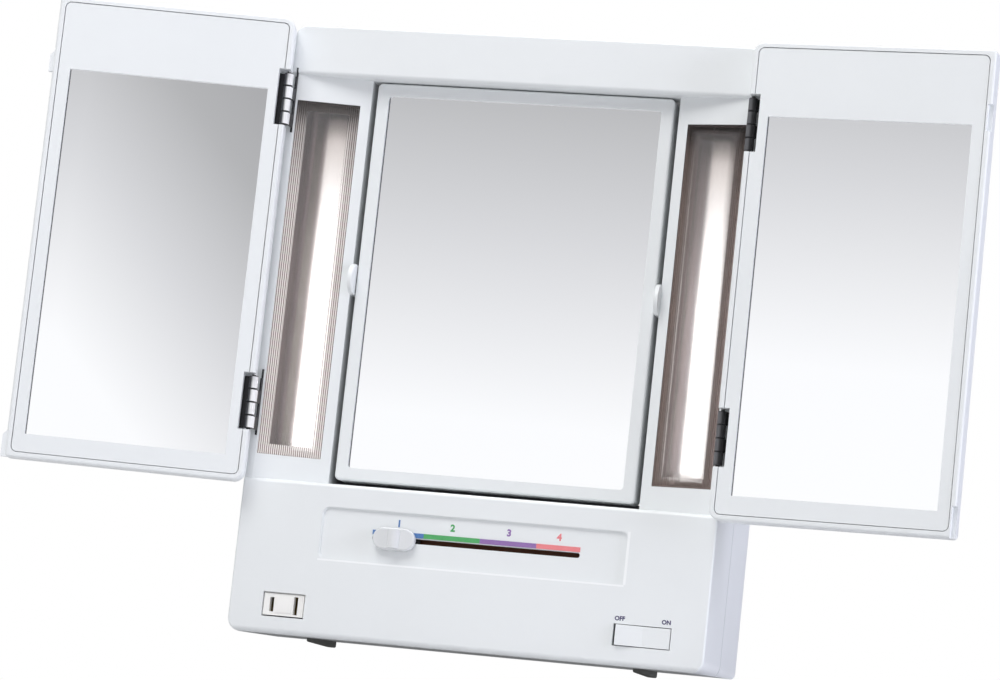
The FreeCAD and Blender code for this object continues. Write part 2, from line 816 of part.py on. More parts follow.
def slider_knob():
    """Pill-shaped knob with a raised ridge, and its stem through the slot."""
    x = first_setting_x()
    back = panel_recess - band_thickness - clear_gap
    face = back - knob_thickness
    pill = obround(x - knob_length / 2, x + knob_length / 2, slot_z, knob_height, face, back)
    pill = round_rim(pill, face, knob_edge)
    ridge_start = (x, face + knob_ridge_radius - knob_ridge_height, slot_z - knob_height / 2 + knob_edge)
    ridge = cylinder(ridge_start, (0, 0, 1), knob_ridge_radius, knob_height - 2 * knob_edge)
    ridge = ridge.common(box(x - knob_length, x + knob_length, face - knob_thickness, back - knob_edge,
                             0, body_height))
    stem = box(x - stem_length / 2, x + stem_length / 2, back - knob_edge, carriage_front(),
               slot_z - slot_height / 2 + slide_gap, slot_z + slot_height / 2 - slide_gap)
    return pill.fuse([ridge, stem]).removeSplitter()


def carriage_front():
    return wall + panel_backing + clear_gap


def slider_carriage():
    """Plate behind the panel with two jaws round the front run of the belt."""
    x = first_setting_x()
    y0 = carriage_front()
    plate = box(x - carriage_length / 2, x + carriage_length / 2, y0, y0 + carriage_thickness,
                slot_z - carriage_height / 2, slot_z + carriage_height / 2)
    belt_back = drum_y - belt_inner()
    low = belt_z() - clear_gap
    high = belt_z() + belt_height + clear_gap
    jaws = [box(x - clip_length / 2, x + clip_length / 2, y0, belt_back + clear_gap,
                z, z + carriage_thickness) for z in (low - carriage_thickness, high)]
    return plate.fuse(jaws).removeSplitter()


def setting_band(setting):
    """Printed strip above the slot for one setting."""
    x = first_setting_x() + setting * band_pitch
    z0 = slot_z + slot_height / 2 + band_rise
    low = max(x - band_pitch / 2, slot_centre_x - slot_length / 2)
    high = min(x + band_pitch / 2, slot_centre_x + slot_length / 2)
    return box(low, high, panel_recess - band_thickness, panel_recess, z0, z0 + band_height)


def blade_slots():
    """Places and heights of the two blade slots."""
    return [(outlet_x - blade_spacing / 2, blade_slot_short),
            (outlet_x + blade_spacing / 2, blade_slot_long)]


def outlet_socket():
    half_x = outlet_width / 2 - outlet_gap
    half_z = outlet_height / 2 - outlet_gap
    block = box(outlet_x - half_x, outlet_x + half_x, outlet_recess, outlet_depth,
                outlet_z - half_z, outlet_z + half_z)
    shoulder = box(outlet_x - half_x - wall, outlet_x + half_x + wall, wall, wall + contact_front,
                   outlet_z - half_z, outlet_z + half_z + wall)
    boss = box(outlet_x - outlet_boss_width / 2, outlet_x + outlet_boss_width / 2,
               outlet_recess - outlet_boss_rise, wall,
               outlet_z - outlet_boss_height / 2, outlet_z + outlet_boss_height / 2)
    cuts = []
    for x, height in blade_slots():
        cuts.append(box(x - blade_slot_width / 2, x + blade_slot_width / 2, 0, contact_front + overcut,
                        outlet_z - height / 2, outlet_z + height / 2))
        cuts.append(box(x - contact_pocket_width / 2, x + contact_pocket_width / 2, contact_front,
                        contact_front + contact_length + overcut, outlet_z - contact_pocket_height / 2,
                        outlet_z + contact_pocket_height / 2))
    return block.fuse([shoulder, boss]).removeSplitter().cut(cuts)


def outlet_contacts():
    """Brass spring clips behind the blade slots."""
    clips = []
    half_x = contact_pocket_width / 2 - leaf_gap
    half_z = contact_pocket_height / 2 - leaf_gap
    back = contact_front + contact_length
    for x, height in blade_slots():
        clip = box(x - half_x, x + half_x, contact_front + leaf_gap, back,
                   outlet_z - half_z, outlet_z + half_z)
        slit = box(x - half_x + contact_leaf, x + half_x - contact_leaf, 0, back - contact_leaf,
                   outlet_z - outlet_height, outlet_z + outlet_height)
        clips.append(clip.cut(slit))
    return clips


def rocker_half_length():
    return switch_width / 2 - switch_gap


def rocker_half_height():
    return switch_height / 2 - switch_gap


def switch_housing():
    """Case behind the panel with a rounded well for the rocker and two pivot holes."""
    half_x = switch_width / 2 + switch_case_wall
    half_z = switch_height / 2 + switch_case_wall
    back = wall + switch_case_depth
    case = box(switch_x - half_x, switch_x + half_x, wall, back, switch_z - half_z, switch_z + half_z)
    well = box(switch_x - switch_width / 2, switch_x + switch_width / 2, 0, back - switch_case_wall,
               switch_z - switch_height / 2, switch_z + switch_height / 2)
    reach = switch_height / 2 + rocker_pin_length + leaf_gap - switch_gap
    bore = cylinder((switch_x, rocker_pivot_y, switch_z - reach), (0, 0, 1),
                    rocker_pin_radius + running_gap, 2 * reach)
    return case.cut([well, bore])


def switch_rocker():
    """Rocker with two faces that meet in a shallow valley; its right end is pressed in."""
    length = rocker_half_length()
    rise = length * math.tan(math.radians(rocker_tilt))
    tip = length - (rocker_pivot_y + rise) * math.sin(math.radians(rocker_tilt))
    foot = rocker_foot / 2
    outline = [(-tip, -rise), (0, 0), (tip, -rise), (length, rocker_pivot_y), (foot, rocker_depth + wall),
               (-foot, rocker_depth + wall), (-length, rocker_pivot_y)]
    half = rocker_half_height()
    rocker = prism([(switch_x + x, y) for x, y in outline], switch_z - half, switch_z + half)
    pins = cylinder((switch_x, rocker_pivot_y, switch_z - half - rocker_pin_length), (0, 0, 1),
                    rocker_pin_radius, 2 * (half + rocker_pin_length))
    rocker = rocker.fuse(pins)
    rocker.rotate(FreeCAD.Vector(switch_x, rocker_pivot_y, 0), FreeCAD.Vector(0, 0, 1), rocker_tilt)
    return rocker


def frame_half(lip_side):
    """One half of the turning frame; lip_side is -1 for the front half and 1 for the rear."""
    middle = pivot_y()
    face = middle + lip_side * frame_thickness / 2
    y0, y1 = min(middle, face), max(middle, face)
    ring = rounded_plate(-frame_width / 2, frame_width / 2, pivot_z - frame_height / 2,
                         pivot_z + frame_height / 2, y0, y1, frame_corner)
    ring = round_rim(ring, face, frame_edge)
    opening = rounded_plate(-glass_width / 2, glass_width / 2, pivot_z - glass_height / 2,
                            pivot_z + glass_height / 2, y0 - overcut, y1 + overcut, frame_opening_corner)
    half_x = glass_width / 2 + glass_overlap + glass_gap
    half_z = glass_height / 2 + glass_overlap + glass_gap
    lip = face - lip_side * frame_lip
    pocket = box(-half_x, half_x, min(lip, middle), max(lip, middle), pivot_z - half_z, pivot_z + half_z)
    grooves = both_sides(cylinder((frame_width / 2 - pivot_pin_inset, middle, pivot_z), (1, 0, 0),
                                  pivot_pin_radius + pin_press_gap, frame_width))
    return ring.cut([opening, pocket] + grooves)


def centre_glass(y0, y1):
    half_x = glass_width / 2 + glass_overlap
    half_z = glass_height / 2 + glass_overlap
    return box(-half_x, half_x, y0, y1, pivot_z - half_z, pivot_z + half_z)


def plain_mirror():
    y0 = frame_front + frame_lip
    return centre_glass(y0, y0 + plain_thickness)


def magnifying_mirror():
    """Thick glass whose rear face is hollowed to a large sphere."""
    y1 = frame_front + frame_thickness - frame_lip
    plate = centre_glass(y1 - magnifier_thickness, y1)
    half_x = glass_width / 2
    half_z = glass_height / 2
    edge = math.sqrt(magnifier_curve_radius ** 2 - half_x ** 2 - half_z ** 2)
    hollow = Part.makeSphere(magnifier_curve_radius, FreeCAD.Vector(0, y1 + edge, pivot_z))
    return plate.cut(hollow)


def pivot_pins():
    start = frame_width / 2 - pivot_pin_inset
    return both_sides(cylinder((start, pivot_y(), pivot_z), (1, 0, 0), pivot_pin_radius,
                               pivot_pin_inset + pivot_pin_reach))


def pivot_ears():
    """Oval ears on the column walls, with a spigot through the wall and a bore for the pin."""
    x0 = frame_width / 2 + ear_gap
    radius = ear_height / 2
    thickness = window_half - x0
    ends = [cylinder((x0, y, pivot_z), (1, 0, 0), radius, thickness)
            for y in (ear_front + radius, ear_back - radius)]
    middle = box(x0, window_half, ear_front + radius, ear_back - radius, pivot_z - radius, pivot_z + radius)
    ear = middle.fuse(ends).removeSplitter()
    face = [e for e in ear.Edges if e.BoundBox.XLength < 1e-6 and abs(e.BoundBox.XMin - x0) < 1e-6]
    ear = ear.makeFillet(ear_edge, face)
    spigot = cylinder((window_half, pivot_y(), pivot_z), (1, 0, 0), ear_spigot_radius, wall)
    bore = cylinder((x0 - overcut, pivot_y(), pivot_z), (1, 0, 0), pivot_pin_radius + pivot_gap,
                    wall + thickness + 2 * overcut)
    return both_sides(ear.fuse(spigot).cut(bore))


def pin_y():
    return -wing_clearance - wing_thickness / 2


def knuckle_bottom(z, number):
    """Bottom of one knuckle of the hinge that is centred at height z."""
    return z - hinge_half_height() + number * (knuckle_height + knuckle_gap)


def knuckles(first, bore, pin_place):
    """Every second knuckle of both hinges, starting from the first."""
    x, y = pin_place
    rings = []
    for z in hinge_heights:
        for number in range(first, knuckle_count, 2):
            start = (x, y, knuckle_bottom(z, number))
            rings.append(tube(start, (0, 0, 1), barrel_radius, bore, knuckle_height))
    return rings


def fixed_leaves():
    """Right-hand leaves: knuckles, a web back to the column and a flange on its land."""
    leaves = []
    bore = hinge_pin_radius + pin_press_gap
    rings = knuckles(0, bore, (pin_x, pin_y()))
    half = hinge_half_height()
    for index, z in enumerate(hinge_heights):
        web = box(web_x0(), web_x1(), -wing_clearance, land_setback + fixed_leaf_bury, z - half, z + half)
        middle = z + flange_rise
        flange = box(web_x1() - flange_width, web_x1(), land_setback - leaf_thickness, land_setback,
                     middle - flange_height / 2, middle + flange_height / 2)
        tongues = []
        for number in range(0, knuckle_count, 2):
            z0 = knuckle_bottom(z, number)
            tongues.append(box(web_x0(), web_x1(), pin_y(), -wing_clearance, z0, z0 + knuckle_height))
        own = rings[index * 2:index * 2 + 2]
        leaf = web.fuse([flange] + tongues + own)
        bores = cylinder((pin_x, pin_y(), z - body_height), (0, 0, 1), bore, 2 * body_height)
        leaves.append(leaf.cut(bores).removeSplitter())
    return leaves


def hinge_pins():
    length = 2 * (hinge_half_height() + hinge_pin_overrun)
    return [cylinder((pin_x, pin_y(), z - length / 2), (0, 0, 1), hinge_pin_radius, length)
            for z in hinge_heights]


def moving_leaves():
    """Leaves of a flat-open right wing, counted from its pin."""
    leaves = []
    bore = hinge_pin_radius + pivot_gap
    rings = knuckles(1, bore, (0, 0))
    half = hinge_half_height()
    for index, z in enumerate(hinge_heights):
        plate = box(barrel_radius + clear_gap, moving_leaf_length, barrel_radius - leaf_thickness,
                    barrel_radius, z - half, z + half)
        tongues = []
        for number in range(1, knuckle_count, 2):
            z0 = knuckle_bottom(z, number)
            tongues.append(box(0, moving_leaf_length, barrel_radius - leaf_thickness, barrel_radius,
                               z0, z0 + knuckle_height))
        leaf = plate.fuse(tongues + rings[index * 2:index * 2 + 2])
        bores = cylinder((0, 0, z - body_height), (0, 0, 1), bore, 2 * body_height)
        leaves.append(leaf.cut(bores).removeSplitter())
    return leaves


def wing_bezel_bounds():
    inset = wing_rim + bezel_gap
    return (-wing_hinge_edge + inset, wing_free_edge - inset, wing_bottom + inset, wing_top - inset)


def hinge_notch(z):
    """Space in a wing's hinge edge for the barrel and the open strip of the leaf."""
    half = hinge_half_height() + hinge_pin_overrun + clear_gap
    return box(-2 * wing_hinge_edge, notch_edge, -wing_thickness, barrel_radius + clear_gap,
               z - half, z + half)


def wing_shell():
    """Tray of a flat-open right wing, counted from its pin, with blocks for the hinge leaves."""
    front, back = -wing_thickness / 2, wing_thickness / 2
    tray = rounded_plate(-wing_hinge_edge, wing_free_edge, wing_bottom, wing_top, front, back,
                         wing_corner)
    free_half = rounded_plate(wing_free_edge / 2, wing_free_edge, wing_bottom, wing_top, front, back,
                              wing_free_corner)
    tray = tray.fuse(free_half).removeSplitter()
    tray = round_rim(tray, front, wing_edge)
    tray = round_rim(tray, back, wing_edge)
    u0, u1, z0, z1 = wing_bezel_bounds()
    bezel_back = front + bezel_recess + bezel_thickness
    pocket = rounded_plate(u0 - bezel_gap, u1 + bezel_gap, z0 - bezel_gap, z1 + bezel_gap,
                           front - overcut, bezel_back, wing_corner - wing_rim)
    hollow = box(u0 + bezel_seat, u1 - bezel_seat, bezel_back - overcut, back - wing_back,
                 z0 + bezel_seat, z1 - bezel_seat)
    tray = tray.cut([pocket, hollow])
    block_front = front + bezel_recess + bezel_lip + wing_glass_thickness + clear_gap
    slot = hinge_half_height() + leaf_gap
    edge_half = hinge_half_height() + hinge_pin_overrun + clear_gap
    blocks = []
    cuts = []
    for z in hinge_heights:
        block_half = slot + leaf_block_wall
        blocks.append(box(u0 + bezel_seat - overcut, moving_leaf_length + leaf_block_wall, block_front,
                          back - wing_back + overcut, z - block_half, z + block_half))
        cuts.append(hinge_notch(z))
        cuts.append(box(-2 * wing_hinge_edge, leaf_clear_edge(), front - overcut, back + overcut,
                        z - edge_half, z + edge_half))
        cuts.append(box(notch_edge - overcut, moving_leaf_length + leaf_gap,
                        barrel_radius - leaf_thickness - leaf_gap, barrel_radius + leaf_gap,
                        z - slot, z + slot))
    return tray.fuse(blocks).removeSplitter().cut(cuts)


def catch(u0, u1, z0, z1):
    """Block on the free edge, sloping back to the edge at its upper end."""
    front = -wing_thickness / 2
    outline = [(u0, z0), (u1, z0), (u1, z1 - catch_slope), (u0, z1)]
    corners = [FreeCAD.Vector(u, front, z) for u, z in outline]
    face = Part.Face(Part.makePolygon(corners + corners[:1]))
    return face.extrude(FreeCAD.Vector(0, catch_thickness, 0))


def left_wing_shell():
    """Tray with the catches that lie over the other wing's rim when both are shut."""
    tabs = []
    for z0, z1 in catch_spans:
        tab = catch(wing_free_edge - wing_rim / 2, wing_free_edge + catch_reach, z0, z1)
        tab.translate(FreeCAD.Vector(0, bezel_recess, 0))
        tabs.append(tab)
    return wing_shell().fuse(tabs).removeSplitter()


def right_wing_shell():
    """Tray with rim recesses for the other wing's catches."""
    inner = pin_x - catch_reach - catch_gap
    floor = -wing_thickness / 2 + bezel_recess + catch_thickness + catch_gap
    recesses = []
    for z0, z1 in catch_spans:
        recesses.append(box(inner, pin_x + catch_reach, -wing_thickness, floor,
                            z0 - catch_gap, z1 + catch_gap))
    return wing_shell().cut(recesses)


def leaf_clear_edge():
    """Edge of the wing behind the barrel, drawn back from the fixed web."""
    return -barrel_radius + leaf_thickness + 2 * clear_gap


def wing_bezel():
    u0, u1, z0, z1 = wing_bezel_bounds()
    front = -wing_thickness / 2 + bezel_recess
    back = front + bezel_thickness
    plate = rounded_plate(u0, u1, z0, z1, front, back, wing_corner - wing_rim - bezel_gap)
    opening = box(wing_glass_inner, wing_glass_outer, front - overcut, back + overcut,
                  wing_glass_bottom, wing_glass_top)
    grow = wing_glass_overlap + glass_gap
    pocket = box(wing_glass_inner - grow, wing_glass_outer + grow, front + bezel_lip, back + overcut,
                 wing_glass_bottom - grow, wing_glass_top + grow)
    return plate.cut([opening, pocket] + [hinge_notch(z) for z in hinge_heights])


def wing_mirror():
    front = -wing_thickness / 2 + bezel_recess + bezel_lip
    grow = wing_glass_overlap
    return box(wing_glass_inner - grow, wing_glass_outer + grow, front, front + wing_glass_thickness,
               wing_glass_bottom - grow, wing_glass_top + grow)


def placed_wing(shape, side):
    """Turn a flat-open right-wing piece to its open angle, on its pin; side is -1 for the left."""
    angle = right_open_angle if side > 0 else left_open_angle
    piece = shape.copy()
    piece.rotate(FreeCAD.Vector(0, 0, 0), FreeCAD.Vector(0, 0, 1), -angle)
    piece.translate(FreeCAD.Vector(pin_x, pin_y(), 0))
    return piece if side > 0 else mirrored(piece)


os.makedirs("parts", exist_ok=True)

save("front_housing", front_housing())
save("rear_housing", rear_housing())
save("rubber_feet", rubber_feet())
save("housing_screws", housing_screws())
save("cord_grommet", cord_grommet())
save("chassis_tray", chassis_tray())
save("lamp_ballast", lamp_ballast())
save("lamp_end_caps", lamp_caps(1) + lamp_caps(-1))
save("lower_lamp_holders", [lower_holder(1), lower_holder(-1)])
save("upper_lamp_holders", [upper_holder(1), upper_holder(-1)])
save("drive_belt", drive_belt())
save("outlet_socket", outlet_socket())
save("outlet_contacts", outlet_contacts())
save("switch_housing", switch_housing())
save("switch_rocker", switch_rocker())
save("slider_knob", slider_knob())
save("slider_carriage", slider_carriage())
save("pivot_ears", pivot_ears())
save("mirror_front_frame", frame_half(-1))
save("mirror_rear_frame", frame_half(1))
save("plain_mirror", plain_mirror())
save("magnifying_mirror", magnifying_mirror())
save("mirror_pivot_pins", pivot_pins())

for setting in range(setting_count):
    save("scale_band_%d" % (setting + 1), setting_band(setting))

for name, make in (("lens", lens), ("reflector", reflector)):
    piece = make()
    save("right_" + name, piece)
    save("left_" + name, mirrored(piece))

for name, pieces in (("fixed_leaves", fixed_leaves()), ("hinge_pins", hinge_pins())):
    save("right_" + name, pieces)
    save("left_" + name, [mirrored(piece) for piece in pieces])

for side, label in ((1, "right"), (-1, "left")):
    shift = 0 if side > 0 else -2 * drum_x
    save(label + "_lamp", lamp(side))
    save(label + "_filter_drum", moved_x(filter_drum(), shift))
    for quarter, tint in enumerate(("green", "purple", "pink")):
        save("%s_%s_film" % (label, tint), moved_x(filter_film(quarter + 1), shift))
    save(label + "_wing_shell", placed_wing(right_wing_shell() if side > 0 else left_wing_shell(), side))
    save(label + "_wing_bezel", placed_wing(wing_bezel(), side))
    save(label + "_wing_mirror", placed_wing(wing_mirror(), side))
    save(label + "_moving_leaves", [placed_wing(leaf, side) for leaf in moving_leaves()])
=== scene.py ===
import math
import bpy
from mathutils import Matrix, Vector


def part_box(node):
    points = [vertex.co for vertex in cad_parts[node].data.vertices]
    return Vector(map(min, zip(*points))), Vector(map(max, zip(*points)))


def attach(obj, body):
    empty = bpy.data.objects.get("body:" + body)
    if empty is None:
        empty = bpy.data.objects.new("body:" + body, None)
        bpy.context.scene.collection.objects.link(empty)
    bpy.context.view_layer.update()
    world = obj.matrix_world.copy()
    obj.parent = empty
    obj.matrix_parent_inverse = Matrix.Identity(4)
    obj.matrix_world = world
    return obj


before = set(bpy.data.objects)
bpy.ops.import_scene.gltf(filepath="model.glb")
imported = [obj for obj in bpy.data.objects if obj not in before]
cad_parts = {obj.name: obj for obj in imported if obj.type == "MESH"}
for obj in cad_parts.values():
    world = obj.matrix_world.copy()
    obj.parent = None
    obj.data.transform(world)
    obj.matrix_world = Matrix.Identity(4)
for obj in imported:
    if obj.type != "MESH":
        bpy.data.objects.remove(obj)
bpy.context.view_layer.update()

# Photographer's camera: a long lens a little below the table top, to the right of the mirror,
# tipped up and rolled as in the photograph.
camera_place = Vector((0.46865, -1.83371, -0.09335))
camera_yaw = math.radians(14.59)
camera_pitch = math.radians(7.8)
camera_roll = math.radians(6.13)
focal_pixels = 3677.0
image_width_pixels = 1000.0
sensor_mm = 36.0
far_clip = 50.0

forward = Vector((-math.sin(camera_yaw) * math.cos(camera_pitch),
                  math.cos(camera_yaw) * math.cos(camera_pitch), math.sin(camera_pitch)))
level = Vector((math.cos(camera_yaw), math.sin(camera_yaw), 0.0))
plumb = forward.cross(level)
image_right = level * math.cos(camera_roll) - plumb * math.sin(camera_roll)
image_down = level * math.sin(camera_roll) + plumb * math.cos(camera_roll)
camera = bpy.data.objects.new("camera", bpy.data.cameras.new("camera"))
camera.data.sensor_width = sensor_mm
camera.data.lens = sensor_mm * focal_pixels / image_width_pixels
camera.data.clip_end = far_clip
turn = Matrix((image_right, -image_down, -forward)).transposed()
camera.matrix_world = Matrix.Translation(camera_place) @ turn.to_4x4()
bpy.context.scene.collection.objects.link(camera)
bpy.context.scene.camera = camera
bpy.context.scene.view_settings.view_transform = "Standard"


# Studio room: white walls that fall off to a grey ceiling, which is what the mirrors show, and
# a dim end behind the object. The camera itself sees plain white paper there.
def srgb(code):
    """Linear colour of an sRGB hex value."""
    parts = [int(code[i:i + 2], 16) / 255 for i in (1, 3, 5)]
    return [p / 12.92 if p <= 0.04045 else ((p + 0.055) / 1.055) ** 2.4 for p in parts] + [1.0]


def add_node(tree, kind, inputs=None, stops=(), **settings):
    """Add a node, apply its settings and colour stops, and set or link its inputs."""
    node = tree.nodes.new(kind)
    for name, value in settings.items():
        setattr(node, name, value)
    for name, value in (inputs or {}).items():
        if isinstance(value, bpy.types.NodeSocket):
            tree.links.new(value, node.inputs[name])
        else:
            node.inputs[name].default_value = value
    for position, colour in stops[1:-1]:
        node.color_ramp.elements.new(position)
    for index, (position, colour) in enumerate(stops):
        node.color_ramp.elements[index].position = position
        node.color_ramp.elements[index].color = colour
    return node


wall_stops = ((0.0, "#FFFFFF"), (0.1135, "#FAFAFC"), (0.164, "#D7D7DA"), (0.209, "#B3B3B5"),
              (0.2755, "#9C9B9E"), (0.45, "#9A9A9C"), (1.0, "#B0B0B2"))
wall_tilt = 1.05
wall_tilt_start = 0.0635
wall_dip = 0.0105
dip_end, dip_start = -0.15, 0.03
room_strength = 1.05
behind_strength = 0.15
behind_heading = 0.4
ambient_share = 0.62

world = bpy.data.worlds.new("studio_room")
bpy.context.scene.world = world
world.use_nodes = True
tree = world.node_tree
tree.nodes.clear()
heading = add_node(tree, "ShaderNodeSeparateXYZ",
                   {0: add_node(tree, "ShaderNodeTexCoord").outputs["Generated"]})
slope = add_node(tree, "ShaderNodeMath", {0: heading.outputs["X"], 1: wall_tilt,
                                          2: -wall_tilt * wall_tilt_start}, operation="MULTIPLY_ADD")
lean = add_node(tree, "ShaderNodeMath", {0: slope.outputs[0], 1: -wall_dip}, operation="MAXIMUM")
dip = add_node(tree, "ShaderNodeMapRange", {"Value": heading.outputs["X"], "From Min": dip_end,
                                            "From Max": dip_start, "To Min": wall_dip, "To Max": 0.0})
rise = add_node(tree, "ShaderNodeMath", {0: lean.outputs[0], 1: dip.outputs[0]}, operation="ADD")
height = add_node(tree, "ShaderNodeMath", {0: heading.outputs["Z"], 1: rise.outputs[0]}, operation="ADD")
walls = add_node(tree, "ShaderNodeValToRGB", {"Fac": height.outputs[0]},
                 stops=[(position, srgb(code)) for position, code in wall_stops])
depth = add_node(tree, "ShaderNodeMapRange", {"Value": heading.outputs["Y"], "From Min": 0.0,
                                              "From Max": behind_heading, "To Min": room_strength,
                                              "To Max": behind_strength})
ray = add_node(tree, "ShaderNodeLightPath")
dimmed = add_node(tree, "ShaderNodeMapRange", {"Value": ray.outputs["Is Diffuse Ray"], "To Min": 1.0,
                                               "To Max": ambient_share})
strength = add_node(tree, "ShaderNodeMath", {0: depth.outputs[0], 1: dimmed.outputs[0]},
                    operation="MULTIPLY")
room = add_node(tree, "ShaderNodeBackground", {"Color": walls.outputs["Color"],
                                               "Strength": strength.outputs[0]})
paper = add_node(tree, "ShaderNodeBackground", {"Color": srgb("#FFFFFF"), "Strength": 1.0})
seen = add_node(tree, "ShaderNodeMixShader", {0: ray.outputs["Is Camera Ray"], 1: room.outputs[0],
                                              2: paper.outputs[0]})
add_node(tree, "ShaderNodeOutputWorld", {"Surface": seen.outputs[0]})

# Softboxes: a large key above and to the left of the lens, a cool fill far to the right, and a top
# light. Each is a square of white cloth stretched before a lamp and aimed at the middle of the
# mirror, so that shadows are soft. The fill stays out of reflections.
softboxes = (("key_softbox", (-0.5, -1.75, 2.35), 1.6, 49.0, "#FFFFFF"),
             ("fill_softbox", (2.5, -0.35, 0.6), 1.2, 47.0, "#E6E7F6"),
             ("top_softbox", (-0.5, 0.2, 2.4), 1.4, 24.0, "#FFFFFF"))
aim = Vector((0.0, 0.0, 0.16))
for name, place, side, watts, code in softboxes:
    light = bpy.data.lights.new(name, "AREA")
    light.size = side
    light.energy = watts
    light.color = srgb(code)[:3]
    softbox = bpy.data.objects.new(name, light)
    softbox.location = place
    softbox.rotation_euler = (Vector(place) - aim).to_track_quat("Z", "Y").to_euler()
    softbox.visible_camera = False
    softbox.visible_glossy = name != "fill_softbox"
    bpy.context.scene.collection.objects.link(softbox)


# Table top: a cast sheet of opal acrylic with a dull skin, faintly lit from below and laid a hair
# under the soles. It gives a pale ground with slight clouds. It is drawn from above only, so that
# the low camera looks past its edge.
def new_material(name, finish):
    """Material with one principled shader, set to its finish and joined to its output."""
    material = bpy.data.materials.new(name)
    material.use_nodes = True
    material.node_tree.nodes.clear()
    shader = add_node(material.node_tree, "ShaderNodeBsdfPrincipled", finish)
    add_node(material.node_tree, "ShaderNodeOutputMaterial", {"Surface": shader.outputs[0]})
    return material, material.node_tree, shader


mm = 0.001
table_half = 6000.0 * mm
sole_gap = 0.2 * mm
opal_cloud = 300.0 * mm
opal_acrylic, tree, shader = new_material("opal_acrylic", {"Roughness": 0.6, "Emission Strength": 0.10,
                                                           "Emission Color": srgb("#FFFFFF")})
cloud = add_node(tree, "ShaderNodeTexNoise", {"Scale": 2 * table_half / opal_cloud})
shade = add_node(tree, "ShaderNodeMix", {0: cloud.outputs["Fac"], 6: srgb("#C0C0C2"), 7: srgb("#C7C7C9")},
                 data_type="RGBA")
tree.links.new(shade.outputs[2], shader.inputs["Base Color"])
underside = add_node(tree, "ShaderNodeNewGeometry").outputs["Backfacing"]
unseen = add_node(tree, "ShaderNodeBsdfTransparent")
one_sided = add_node(tree, "ShaderNodeMixShader", {0: underside, 1: shader.outputs[0],
                                                   2: unseen.outputs[0]})
tree.links.new(one_sided.outputs[0], tree.nodes["Material Output"].inputs["Surface"])
sheet = bpy.data.meshes.new("table_top")
corners = [(x * table_half, y * table_half, -sole_gap) for x, y in ((-1, -1), (1, -1), (1, 1), (-1, 1))]
sheet.from_pydata(corners, [], [(0, 1, 2, 3)])
table = bpy.data.objects.new("table_top", sheet)
table.data.materials.append(opal_acrylic)
bpy.context.scene.collection.objects.link(table)


# Housing: two white ABS shells, injection moulded in a spark-textured mould and screwed together
# from the back. The texture leaves a satin skin, drawn coarser than it is so that it shows, and
# long flow marks barely tint it.
def mottled(name, patch, deep, pale, finish, detail=2.0):
    """Material whose colour wanders between two shades over patches of a real size."""
    material, tree, shader = new_material(name, finish)
    spot = add_node(tree, "ShaderNodeTexCoord").outputs["Object"]
    patches = add_node(tree, "ShaderNodeTexNoise", {"Vector": spot, "Scale": 1 / patch, "Detail": detail})
    tint = add_node(tree, "ShaderNodeMix", {0: patches.outputs["Fac"], 6: deep, 7: pale}, data_type="RGBA")
    tree.links.new(tint.outputs[2], shader.inputs["Base Color"])
    return material, tree, shader, patches.outputs["Fac"]


def moulded_white(name, deep, pale, smooth, dull):
    """White plastic with faint flow marks, and a fine grain that breaks up its shine."""
    plastic, tree, shader = mottled(name, flow_mark, deep, pale, {"IOR": 1.53})[:3]
    spot = add_node(tree, "ShaderNodeTexCoord").outputs["Object"]
    grain = add_node(tree, "ShaderNodeTexNoise", {"Vector": spot, "Scale": 1 / mould_grain, "Detail": 1.0})
    satin = add_node(tree, "ShaderNodeMapRange", {"Value": grain.outputs["Fac"], "To Min": smooth,
                                                  "To Max": dull})
    skin = add_node(tree, "ShaderNodeBump", {"Height": grain.outputs["Fac"], "Strength": 0.06,
                                             "Distance": mould_grain_depth})
    tree.links.new(satin.outputs[0], shader.inputs["Roughness"])
    tree.links.new(skin.outputs[0], shader.inputs["Normal"])
    return plastic


def dress(material, *names):
    """Give solids of the frame this material."""
    for name in names:
        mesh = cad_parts[name].data
        mesh.materials.clear()
        mesh.materials.append(material)


flow_mark = 70.0 * mm
mould_grain = 0.8 * mm
mould_grain_depth = 0.03 * mm
white_abs = moulded_white("moulded_white_abs", srgb("#EBEEEF"), srgb("#F0F3F4"), 0.30, 0.40)

# Coats on the shells: taupe heat paint sprayed in the two lamp chambers, drawn dark to stand for
# their shade too, and painted shade that deepens inwards in the tunnel behind the turning mirror,
# so that only mirrors and lamps shine. Outside, painted highlights run as bright lines along the
# lower and right edges of the slider's recess.
tunnel_edge = 83.0 * mm
chamber_edge = 122.1 * mm
ledge_level = 80.3 * mm
header_level = 291.6 * mm
spray_margin = 1.0 * mm
back_level = 44.0 * mm
column_lean = 0.2220
column_front = -43.0 * mm
column_outer = 121.5 * mm
tunnel_shade_start, tunnel_shade_full = -34.5 * mm, -19.0 * mm
recess_half = 79.9 * mm
recess_low, recess_high = 41.3 * mm, 68.1 * mm
recess_floor = -43.0 * mm
rim_width = 0.9 * mm
housing_abs = white_abs.copy()
housing_abs.name = "moulded_white_abs_painted_light_and_shade"
tree = housing_abs.node_tree
shader = tree.nodes["Principled BSDF"]
spot = add_node(tree, "ShaderNodeTexCoord").outputs["Object"]
x, y, z = add_node(tree, "ShaderNodeSeparateXYZ", {0: spot}).outputs
outward = add_node(tree, "ShaderNodeMath", {0: x}, operation="ABSOLUTE").outputs[0]
past_face = add_node(tree, "ShaderNodeMath", {0: outward, 1: column_lean, 2: y},
                     operation="MULTIPLY_ADD").outputs[0]
fading_in = add_node(tree, "ShaderNodeMapRange", {"Value": y, "From Min": tunnel_shade_start,
                                                  "From Max": tunnel_shade_full}).outputs[0]
between = ((z, "GREATER_THAN", ledge_level - spray_margin), (z, "LESS_THAN", header_level + spray_margin),
           (y, "LESS_THAN", back_level))
# Taupe paint in the lamp chambers, also drawn dark as painted shade.
chamber = ((outward, "GREATER_THAN", tunnel_edge), (outward, "LESS_THAN", chamber_edge),
           (past_face, "GREATER_THAN", column_front + column_lean * column_outer))
